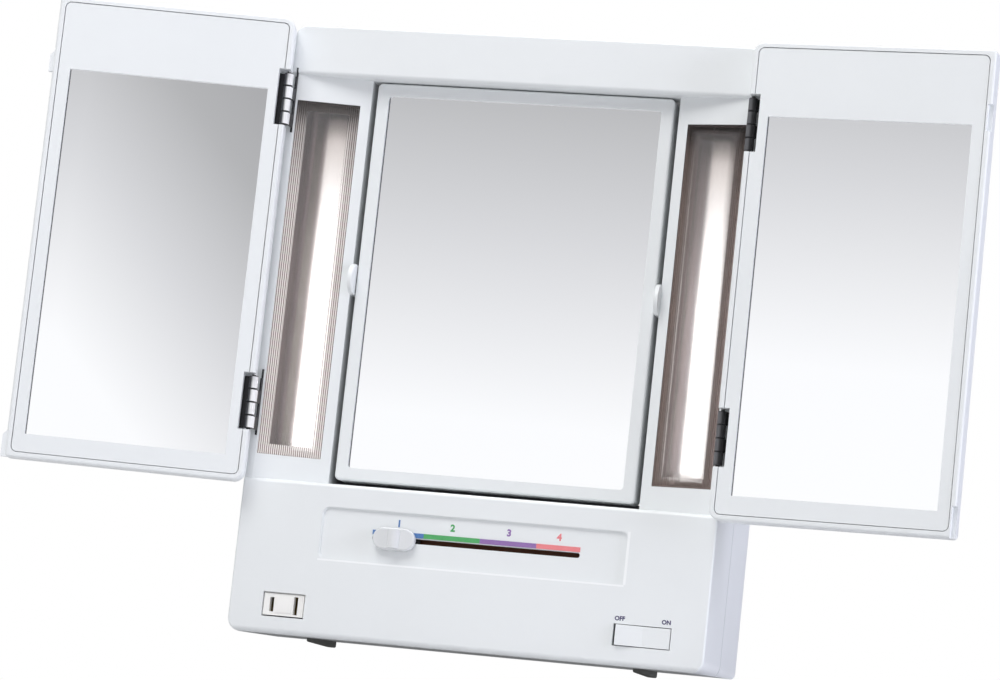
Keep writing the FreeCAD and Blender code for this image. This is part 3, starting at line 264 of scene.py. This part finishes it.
# Painted shade: the tunnel walls darken towards the back, where shade falls behind the mirror.
tunnel = ((outward, "LESS_THAN", tunnel_edge), (y, "GREATER_THAN", tunnel_shade_start))
# Painted highlights: pale lines along the lower and right edges of the slider's recess.
lower_rim_highlight = ((y, "LESS_THAN", recess_floor), (outward, "LESS_THAN", recess_half),
             (z, "GREATER_THAN", recess_low - rim_width), (z, "LESS_THAN", recess_low))
right_rim_highlight = ((y, "LESS_THAN", recess_floor), (x, "GREATER_THAN", recess_half - rim_width / 2),
             (x, "LESS_THAN", recess_half + rim_width), (z, "GREATER_THAN", recess_low),
             (z, "LESS_THAN", recess_high))
coats_and_painted_light = ((lower_rim_highlight, 1.0, "#FCFEFF"), (right_rim_highlight, 1.0, "#FCFEFF"),
         (between + chamber, 1.0, "#8E7B78"), (between + tunnel, fading_in, "#5E5E63"))
tint = shader.inputs["Base Color"].links[0].from_socket
for limits, cover, code in coats_and_painted_light:
    for value, test, limit in limits:
        step = add_node(tree, "ShaderNodeMath", {0: value, 1: limit}, operation=test).outputs[0]
        cover = add_node(tree, "ShaderNodeMath", {0: step, 1: cover}, operation="MULTIPLY").outputs[0]
    tint = add_node(tree, "ShaderNodeMix", {0: cover, 6: tint, 7: srgb(code)}, data_type="RGBA").outputs[2]
tree.links.new(tint, shader.inputs["Base Color"])
dress(housing_abs, "front_housing", "rear_housing")

# Feet and cord inlet: soft grey rubber, moulded, then pegged into the base and snapped into the
# rear wall. Its skin is dull and uneven; the grain is drawn coarser than it is, so that it shows.
rubber_grain = 1.2 * mm
rubber_grain_depth = 0.05 * mm
grey_rubber, tree, shader, grain = mottled("moulded_grey_rubber", rubber_grain, srgb("#8C8C8A"),
                                           srgb("#989896"), {"Roughness": 0.7}, detail=3.0)
skin = add_node(tree, "ShaderNodeBump", {"Height": grain, "Strength": 0.2, "Distance": rubber_grain_depth})
tree.links.new(skin.outputs[0], shader.inputs["Normal"])
dress(grey_rubber, "rubber_feet", "cord_grommet")

# Drive belt: a strip of brown rubberised fabric, joined into a loop behind the slot. Its threads
# show as dull flecks.
belt_thread = 0.8 * mm
brown_belt = mottled("rubberised_brown_fabric", belt_thread, srgb("#5A3117"), srgb("#6B3D20"),
                     {"Roughness": 0.7})[0]
dress(brown_belt, "drive_belt")

# Screws and pivot pins: zinc-plated steel, drawn, headed and tumbled, then driven into the shells
# and the mirror's frame. Faint streaks, drawn coarser than they are, break its shine.
zinc_streak = 0.6 * mm
zinc_steel, tree, shader = new_material("zinc_plated_steel", {"Base Color": srgb("#B9BCC1"),
                                                              "Metallic": 1.0})
spot = add_node(tree, "ShaderNodeTexCoord").outputs["Object"]
streak = add_node(tree, "ShaderNodeTexNoise", {"Vector": spot, "Scale": 1 / zinc_streak})
rough = add_node(tree, "ShaderNodeMapRange", {"Value": streak.outputs["Fac"], "To Min": 0.22,
                                              "To Max": 0.42})
tree.links.new(rough.outputs[0], shader.inputs["Roughness"])
dress(zinc_steel, "housing_screws", "mirror_pivot_pins")

# Chassis tray and filter drums: taupe ABS, each moulded in one piece, set in the base and on posts
# round the lamps. A dull skin keeps stray light down; its grain is drawn coarser than it is.
taupe_grain = 0.9 * mm
taupe_abs = mottled("moulded_taupe_abs", taupe_grain, srgb("#8F7F80"), srgb("#998786"),
                    {"Roughness": 0.5, "IOR": 1.53})[0]
dress(taupe_abs, "chassis_tray", "left_filter_drum", "right_filter_drum")

# Ballast: a stack of half-millimetre iron sheets round a coil, dipped in varnish and fixed to the
# floor of the base. The sheets show as lines, drawn about six times coarser than they are. The wave
# pattern runs through 20 radians in each unit of its scale.
sheet_line = 3.14 * mm
wave_radians = 20.0
varnished_iron, tree, shader = new_material("varnished_iron", {"Roughness": 0.45, "Metallic": 0.4})
spot = add_node(tree, "ShaderNodeTexCoord").outputs["Object"]
lines = add_node(tree, "ShaderNodeTexWave", {"Vector": spot,
                                             "Scale": 2 * math.pi / (wave_radians * sheet_line)},
                 bands_direction="Z")
tint = add_node(tree, "ShaderNodeMix", {0: lines.outputs["Fac"], 6: srgb("#3A342F"), 7: srgb("#57504A")},
                data_type="RGBA")
tree.links.new(tint.outputs[2], shader.inputs["Base Color"])
dress(varnished_iron, "lamp_ballast")

# Lamp holders, carriage and switch case: moulded black nylon. Holders and case are pushed into seats
# in the housing, and the carriage slides behind the panel. The nylon is slightly dull, with a faint
# grain drawn coarser than it is.
nylon_grain = 1.0 * mm
black_nylon = mottled("moulded_black_nylon", nylon_grain, srgb("#1E1C1B"), srgb("#2A2725"),
                      {"Roughness": 0.45})[0]
dress(black_nylon, "lower_lamp_holders", "upper_lamp_holders", "slider_carriage", "switch_housing")

# Reflectors: sheet aluminium, folded and lacquered taupe, held behind each drum. The lacquer's
# ripple of about 2 mm barely mottles its soft metallic sheen.
lacquer_ripple = 2.0 * mm
lacquered_aluminium = mottled("lacquered_aluminium", lacquer_ripple, srgb("#93827F"), srgb("#9D8B88"),
                              {"Roughness": 0.35, "Metallic": 0.3})[0]
dress(lacquered_aluminium, "left_reflector", "right_reflector")

# Lamps: glass tubes with a white phosphor coat inside, lit. The coat is thin and warm for some
# way below the upper cap, where the glow dies away, and only for a short way at the lower one.
lamp_low, lamp_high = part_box("left_lamp")
upper_fade = 85.0 * mm
lower_fade = 6.0 * mm
glow_stops = ((0.0, "#2A2625"), (0.075, "#615C5A"), (0.14, "#8C8785"), (0.25, "#9F9B99"),
              (0.36, "#ADAAA9"), (0.5, "#BEBCBB"), (1.0, "#FFFEFD"))
coated_glass, tree, shader = new_material("phosphor_coated_glass", {"Base Color": srgb("#6A6360"),
                                                                    "Roughness": 0.3,
                                                                    "Emission Strength": 2.4})
spot = add_node(tree, "ShaderNodeTexCoord").outputs["Object"]
z = add_node(tree, "ShaderNodeSeparateXYZ", {0: spot}).outputs["Z"]
above = add_node(tree, "ShaderNodeMapRange", {"Value": z, "From Min": lamp_low.z - lower_fade,
                                              "From Max": lamp_low.z + lower_fade})
below = add_node(tree, "ShaderNodeMapRange", {"Value": z, "From Min": lamp_high.z,
                                              "From Max": lamp_high.z - upper_fade})
lit = add_node(tree, "ShaderNodeMath", {0: above.outputs[0], 1: below.outputs[0]}, operation="MULTIPLY")
glow = add_node(tree, "ShaderNodeValToRGB", {"Fac": lit.outputs[0]},
                stops=[(position, srgb(code)) for position, code in glow_stops])
tree.links.new(glow.outputs["Color"], shader.inputs["Emission Color"])
dress(coated_glass, "left_lamp", "right_lamp")

# Lamp caps: plated steel, pressed and crimped on the ends of the tubes. Heat has browned and dulled
# it in stains of about 3 mm.
cap_stain = 3.0 * mm
browned_steel = mottled("heat_browned_steel", cap_stain, srgb("#433D3A"), srgb("#5B524E"),
                        {"Roughness": 0.55, "Metallic": 0.5})[0]
dress(browned_steel, "lamp_end_caps")

# Filters: tinted polyester film, three on each drum, cut from the roll and bent round the cage.
# It is clear enough to see through, and about three ripples in 50 mm vary its tint.
film_ripple = 50.0 * mm / 3
film_colours = {"green": "#A9A79D", "purple": "#A59BA8", "pink": "#B8A4A2"}
for shade_name, code in film_colours.items():
    film = mottled("tinted_%s_film" % shade_name, film_ripple, srgb(code), srgb("#8E857F"),
                   {"Roughness": 0.15, "Alpha": 0.30})[0]
    dress(film, "left_%s_film" % shade_name, "right_%s_film" % shade_name)

# Lenses: clear acrylic, moulded with a smooth hazy middle and fine upright ribs round the border
# of the inner face, pressed into the openings of the columns. The ribs are drawn as pale and dark
# lines of painted light with a painted glow, and painted shade darkens them towards the top, more in the
# right lens.
haze_patch = 4.0 * mm
rib_pitch = 1.05 * mm
rib_border = 5.2 * mm
lens_low, lens_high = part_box("right_lens")
rib_painted_shade = ((0.0, 1.0), (0.75, 0.90), (0.92, 0.54), (0.965, 0.19), (1.0, 0.06))
rib_looks = (("left", "#FFFAF7", "#5E4A44", 0.6, 0.45, 0.3 * mm),
             ("right", "#A5958D", "#665650", 0.4, 0.05, 3.5 * mm))
for side, pale_code, deep_code, cover, painted_glow, blend in rib_looks:
    acrylic, tree, shader = new_material("clear_ribbed_acrylic_" + side, {"Base Color": srgb("#FBF9F8"),
                                                                          "IOR": 1.49,
                                                                          "Transmission Weight": 0.95})
    spot = add_node(tree, "ShaderNodeTexCoord").outputs["Object"]
    haze = add_node(tree, "ShaderNodeTexNoise", {"Vector": spot, "Scale": 1 / haze_patch})
    rough = add_node(tree, "ShaderNodeMapRange", {"Value": haze.outputs["Fac"], "To Min": 0.21,
                                                  "To Max": 0.24})
    tree.links.new(rough.outputs[0], shader.inputs["Roughness"])
    parts = add_node(tree, "ShaderNodeSeparateXYZ", {0: spot})
    z = parts.outputs["Z"]
    outward = add_node(tree, "ShaderNodeMath", {0: parts.outputs["X"]}, operation="ABSOLUTE").outputs[0]
    borders = []
    for value, low, high in ((outward, lens_low.x, lens_high.x), (z, lens_low.z, lens_high.z)):
        border_start = (high - low) / 2 - rib_border
        offset = add_node(tree, "ShaderNodeMath", {0: value, 1: (low + high) / 2}, operation="SUBTRACT")
        away = add_node(tree, "ShaderNodeMath", {0: offset.outputs[0]}, operation="ABSOLUTE")
        near = add_node(tree, "ShaderNodeMapRange", {"Value": away.outputs[0],
                                                     "From Min": border_start - blend,
                                                     "From Max": border_start + blend})
        borders.append(near.outputs[0])
    in_border = add_node(tree, "ShaderNodeMath", {0: borders[0], 1: borders[1]}, operation="MAXIMUM")
    # Painted light and shade: pale and dark lines across the ribs stand in for the lamp's light bent by
    # them.
    flank = add_node(tree, "ShaderNodeMath", {0: outward, 1: rib_pitch / 2}, operation="PINGPONG")
    crest = add_node(tree, "ShaderNodeMapRange", {"Value": flank.outputs[0], "From Min": rib_pitch / 8,
                                                  "From Max": rib_pitch * 3 / 8})
    lines = add_node(tree, "ShaderNodeMix", {0: crest.outputs[0], 6: srgb(deep_code), 7: srgb(pale_code)},
                     data_type="RGBA")
    # Painted shade: this ramp darkens the rib lines towards the top.
    rise = add_node(tree, "ShaderNodeMapRange", {"Value": z, "From Min": lens_low.z,
                                                 "From Max": lens_high.z})
    glow = add_node(tree, "ShaderNodeValToRGB", {"Fac": rise.outputs[0]},
                    stops=[(position, [share, share, share, 1.0]) for position, share in rib_painted_shade])
    tint = add_node(tree, "ShaderNodeMix", {0: 1.0, 6: lines.outputs[2], 7: glow.outputs["Color"]},
                    data_type="RGBA", blend_type="MULTIPLY")
    # Painted glow: the rib lines give off their own colour, though they are no lamp.
    ribs = add_node(tree, "ShaderNodeBsdfPrincipled", {"Base Color": tint.outputs[2], "Roughness": 0.35,
                                                        "Emission Color": tint.outputs[2],
                                                        "Emission Strength": painted_glow, "Alpha": cover})
    both = add_node(tree, "ShaderNodeMixShader", {0: in_border.outputs[0], 1: shader.outputs[0],
                                                  2: ribs.outputs[0]})
    tree.links.new(both.outputs[0], tree.nodes["Material Output"].inputs["Surface"])
    dress(acrylic, side + "_lens")

# Pivot ears and rocker: the housing's white ABS, moulded apart, with the same satin skin. The ears
# have spigots that pass through the tunnel's walls, and the rocker turns on pins in the switch case.
dress(white_abs, "pivot_ears", "switch_rocker")

# Outlet: white urea resin, pressed hot in a mould and set into the base. It has the same satin as
# the ABS round it, and is a little warmer and whiter.
white_urea = moulded_white("pressed_white_urea", srgb("#F9F8F5"), srgb("#FCFBF8"), 0.30, 0.40)
dress(white_urea, "outlet_socket")

# Slider knob: the housing's white ABS, moulded and pressed on the carriage through the slot.
# Fingers have smoothed it, and it is drawn greyer than the housing as painted shade.
knob_abs = moulded_white("moulded_white_abs_shaded", srgb("#DDDFE1"), srgb("#E4E6E8"), 0.16, 0.22)
dress(knob_abs, "slider_knob")

# Setting bands: four strips of screen ink, printed above the slot, one for each light setting. The
# screen's mesh thins the ink in grains, drawn coarser than they are.
ink_grain = 0.4 * mm
ink_thinning = 0.12
band_colours = ("#2B6CB0", "#2FA44F", "#8A5FA8", "#EE7D82")
inks = []
for number, code in enumerate(band_colours, 1):
    thin = [(1 - ink_thinning) * c + ink_thinning for c in srgb(code)]
    ink = mottled("screen_ink_%d" % number, ink_grain, srgb(code), thin, {"Roughness": 0.4})[0]
    dress(ink, "scale_band_%d" % number)
    inks.append(ink)


# Setting numbers: the same screen ink, printed on the panel above each band in the band's colour.
# They stand a hair proud of the panel, as a flat film.
def print_words(name, words, middle, tall, ink, body):
    """Flat ink lettering that faces the front, centred at a point."""
    curve = bpy.data.curves.new(name, "FONT")
    curve.body = words
    curve.align_x = "CENTER"
    curve.align_y = "CENTER"
    curve.extrude = ink_film / 2
    curve.offset = stroke_growth
    draft = bpy.data.objects.new(name + "_draft", curve)
    bpy.context.scene.collection.objects.link(draft)
    bpy.context.view_layer.update()
    mesh = bpy.data.meshes.new_from_object(draft.evaluated_get(bpy.context.evaluated_depsgraph_get()))
    bpy.data.objects.remove(draft)
    low = min(v.co.y for v in mesh.vertices)
    high = max(v.co.y for v in mesh.vertices)
    scale = tall / (high - low)
    mid_x = (min(v.co.x for v in mesh.vertices) + max(v.co.x for v in mesh.vertices)) / 2
    for vertex in mesh.vertices:
        flat = vertex.co.copy()
        vertex.co = Vector((middle[0] + (flat.x - mid_x) * scale, middle[1] - flat.z,
                            middle[2] + (flat.y - (low + high) / 2) * scale))
    mesh.materials.append(ink)
    piece = bpy.data.objects.new(name, mesh)
    bpy.context.scene.collection.objects.link(piece)
    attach(piece, body)
    return piece


ink_film = 0.06 * mm
stroke_growth = 0.04
number_tall = 3.7 * mm
number_rise = 4.2 * mm
for number, ink in enumerate(inks, 1):
    low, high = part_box("scale_band_%d" % number)
    place = ((low.x + high.x) / 2, high.y - ink_film / 2, high.z + number_rise)
    piece = print_words("setting_number_%d" % number, str(number), place, number_tall, ink, "body")

# Switch words: dark violet screen ink, printed on the base above the two ends of the rocker. Like
# the bands it is dull, and thinned in grains that are drawn coarser than they are.
violet_ink = mottled("violet_screen_ink", ink_grain, srgb("#3A3560"), srgb("#565075"),
                     {"Roughness": 0.5})[0]
word_tall = 2.3 * mm
word_rise = 1.9 * mm
word_inset = 2.5 * mm
rocker_low, rocker_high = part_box("switch_rocker")
front_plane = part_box("front_housing")[0].y
for words, middle_x in (("OFF", rocker_low.x + word_inset), ("ON", rocker_high.x - word_inset)):
    place = (middle_x, front_plane - ink_film / 2, rocker_high.z + word_rise)
    piece = print_words("switch_word_%s" % words.lower(), words, place, word_tall, violet_ink, "body")

# Outlet contacts: spring clips of brass strip, stamped and bent, pushed into the outlet from
# behind. The strip's grain, drawn coarser than it is, breaks up a yellow shine.
brass_grain = 0.6 * mm
stamped_brass, tree, shader = new_material("stamped_brass", {"Base Color": srgb("#B79A5B"),
                                                             "Metallic": 1.0})
spot = add_node(tree, "ShaderNodeTexCoord").outputs["Object"]
grain = add_node(tree, "ShaderNodeTexNoise", {"Vector": spot, "Scale": 1 / brass_grain})
rough = add_node(tree, "ShaderNodeMapRange", {"Value": grain.outputs["Fac"], "To Min": 0.3, "To Max": 0.5})
tree.links.new(rough.outputs[0], shader.inputs["Roughness"])
dress(stamped_brass, "outlet_contacts")

# Mirrors: float glass silvered on the back, clipped into frames. A thin grey line of painted shade
# runs along the left edge of each silver coat, and a white line of painted highlight along the upper
# edge, just inside the frame's opening. The glass of the right wing sits in its clips with a slight lean.
silver_haze = 120.0 * mm
glass_overlap = 2.0 * mm
painted_edge_width = 0.6 * mm
left_wing_angle = math.radians(12.3)
right_wing_angle = math.radians(3.8)
right_glass_lean = -0.0121
glass_runs = {"plain_mirror": (1.0, 0.0, 0.0), "magnifying_mirror": (1.0, 0.0, 0.0),
              "left_wing_mirror": (math.cos(left_wing_angle), math.sin(left_wing_angle), 0.0),
              "right_wing_mirror": (math.cos(right_wing_angle), -math.sin(right_wing_angle),
                                    right_glass_lean)}
for name, (run_x, run_y, lean) in glass_runs.items():
    glass, tree, shader = mottled("silvered_float_glass_" + name, silver_haze, srgb("#FAFBFC"),
                                  srgb("#FCFDFD"), {"Roughness": 0.01})[:3]
    silver_tint = shader.inputs["Base Color"].links[0].from_socket
    corners = [v.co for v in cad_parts[name].data.vertices]
    left_end = min(c.x * run_x + c.y * run_y for c in corners)
    top_end = max(c.z for c in corners)
    spot = add_node(tree, "ShaderNodeTexCoord").outputs["Object"]
    along = add_node(tree, "ShaderNodeVectorMath", {0: spot, 1: (run_x, run_y, 0.0)},
                     operation="DOT_PRODUCT")
    z = add_node(tree, "ShaderNodeSeparateXYZ", {0: spot}).outputs["Z"]
    left_edge = add_node(tree, "ShaderNodeMath", {0: along.outputs["Value"],
                                                  1: left_end + glass_overlap + painted_edge_width},
                         operation="LESS_THAN")
    top_edge = add_node(tree, "ShaderNodeMath", {0: z, 1: top_end - glass_overlap - painted_edge_width / 2},
                        operation="GREATER_THAN")
    # Painted shade: a grey line along the left edge of the silver.
    shaded_left_edge = add_node(tree, "ShaderNodeMix", {0: left_edge.outputs[0], 6: silver_tint, 7: srgb("#7B7D80")},
                      data_type="RGBA")
    # Painted highlight: a white, unsilvered line along the upper edge.
    highlighted_top_edge = add_node(tree, "ShaderNodeMix", {0: top_edge.outputs[0], 6: shaded_left_edge.outputs[2],
                                              7: srgb("#FFFFFF")}, data_type="RGBA")
    silvered = add_node(tree, "ShaderNodeMath", {0: 1.0, 1: top_edge.outputs[0]}, operation="SUBTRACT")
    tree.links.new(highlighted_top_edge.outputs[2], shader.inputs["Base Color"])
    tree.links.new(silvered.outputs[0], shader.inputs["Metallic"])
    facing = add_node(tree, "ShaderNodeNewGeometry").outputs["Normal"]
    leaning = add_node(tree, "ShaderNodeVectorMath", {0: facing, 1: (0.0, 0.0, lean)}, operation="ADD")
    tree.links.new(leaning.outputs[0], shader.inputs["Normal"])
    dress(glass, name)

# Mirror frames, wing trays and bezels: the housing's white ABS, moulded in halves that snap
# together round the glass. They share its satin skin.
dress(white_abs, "mirror_front_frame", "mirror_rear_frame")
for side in ("left", "right"):
    dress(white_abs, side + "_wing_shell", side + "_wing_bezel")

# Hinges: strip steel, rolled round the pins, blackened, and pushed into columns and wings. The
# knuckles carry a painted highlight, white on the right side of the left hinges and paler on the left side
# of the right ones, with dark joints between them.
# The blackening's grain is drawn coarser than it is.
steel_grain = 0.7 * mm
barrel_highlight_radius = 3.0 * mm
highlight_spread = 0.6 * mm
knuckle_pitch = 6.8 * mm
joint_width = 0.9 * mm
hinge_split = 200.0 * mm
lower_hinge, upper_hinge = 117.5 * mm, 276.6 * mm
for side, left_code, right_code in (("left", "#4E4F52", "#FFFFFF"), ("right", "#636366", "#2A2A2C")):
    steel, tree, shader, grain = mottled("blackened_strip_steel_" + side, steel_grain, srgb("#1C1C1E"),
                                         srgb("#2E2E31"), {"Metallic": 0.25}, detail=3.0)
    black = shader.inputs["Base Color"].links[0].from_socket
    pin_low, pin_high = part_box(side + "_hinge_pins")
    pin_axis = (pin_low + pin_high) / 2
    spot = add_node(tree, "ShaderNodeTexCoord").outputs["Object"]
    from_pin = add_node(tree, "ShaderNodeVectorMath", {0: spot, 1: (pin_axis.x, pin_axis.y, 0.0)},
                        operation="SUBTRACT")
    level_part = add_node(tree, "ShaderNodeVectorMath", {0: from_pin.outputs[0], 1: (1.0, 1.0, 0.0)},
                          operation="MULTIPLY")
    radius = add_node(tree, "ShaderNodeVectorMath", {0: level_part.outputs[0]}, operation="LENGTH")
    in_barrel = add_node(tree, "ShaderNodeMath", {0: radius.outputs["Value"], 1: barrel_highlight_radius},
                    operation="LESS_THAN")
    parts = add_node(tree, "ShaderNodeSeparateXYZ", {0: from_pin.outputs[0]})
    z = parts.outputs["Z"]
    is_upper = add_node(tree, "ShaderNodeMath", {0: z, 1: hinge_split}, operation="GREATER_THAN")
    centre = add_node(tree, "ShaderNodeMapRange", {"Value": is_upper.outputs[0], "To Min": lower_hinge,
                                                   "To Max": upper_hinge})
    from_centre = add_node(tree, "ShaderNodeMath", {0: z, 1: centre.outputs[0]}, operation="SUBTRACT")
    to_joint = add_node(tree, "ShaderNodeMath", {0: from_centre.outputs[0], 1: knuckle_pitch / 2},
                        operation="PINGPONG")
    off_joint = add_node(tree, "ShaderNodeMath", {0: to_joint.outputs[0], 1: joint_width / 2},
                         operation="GREATER_THAN")
    highlighted = add_node(tree, "ShaderNodeMath", {0: in_barrel.outputs[0], 1: off_joint.outputs[0]},
                        operation="MULTIPLY")
    # Painted highlight: the knuckles lighten from one side to the other.
    across = add_node(tree, "ShaderNodeMapRange", {"Value": parts.outputs["X"], "From Min": -highlight_spread,
                                                   "From Max": highlight_spread})
    painted_highlight = add_node(tree, "ShaderNodeMix", {0: across.outputs[0], 6: srgb(left_code),
                                              7: srgb(right_code)}, data_type="RGBA")
    tint = add_node(tree, "ShaderNodeMix", {0: highlighted.outputs[0], 6: black, 7: painted_highlight.outputs[2]},
                    data_type="RGBA")
    rough = add_node(tree, "ShaderNodeMapRange", {"Value": grain, "To Min": 0.26, "To Max": 0.36})
    tree.links.new(tint.outputs[2], shader.inputs["Base Color"])
    tree.links.new(rough.outputs[0], shader.inputs["Roughness"])
    dress(steel, side + "_fixed_leaves", side + "_moving_leaves", side + "_hinge_pins")
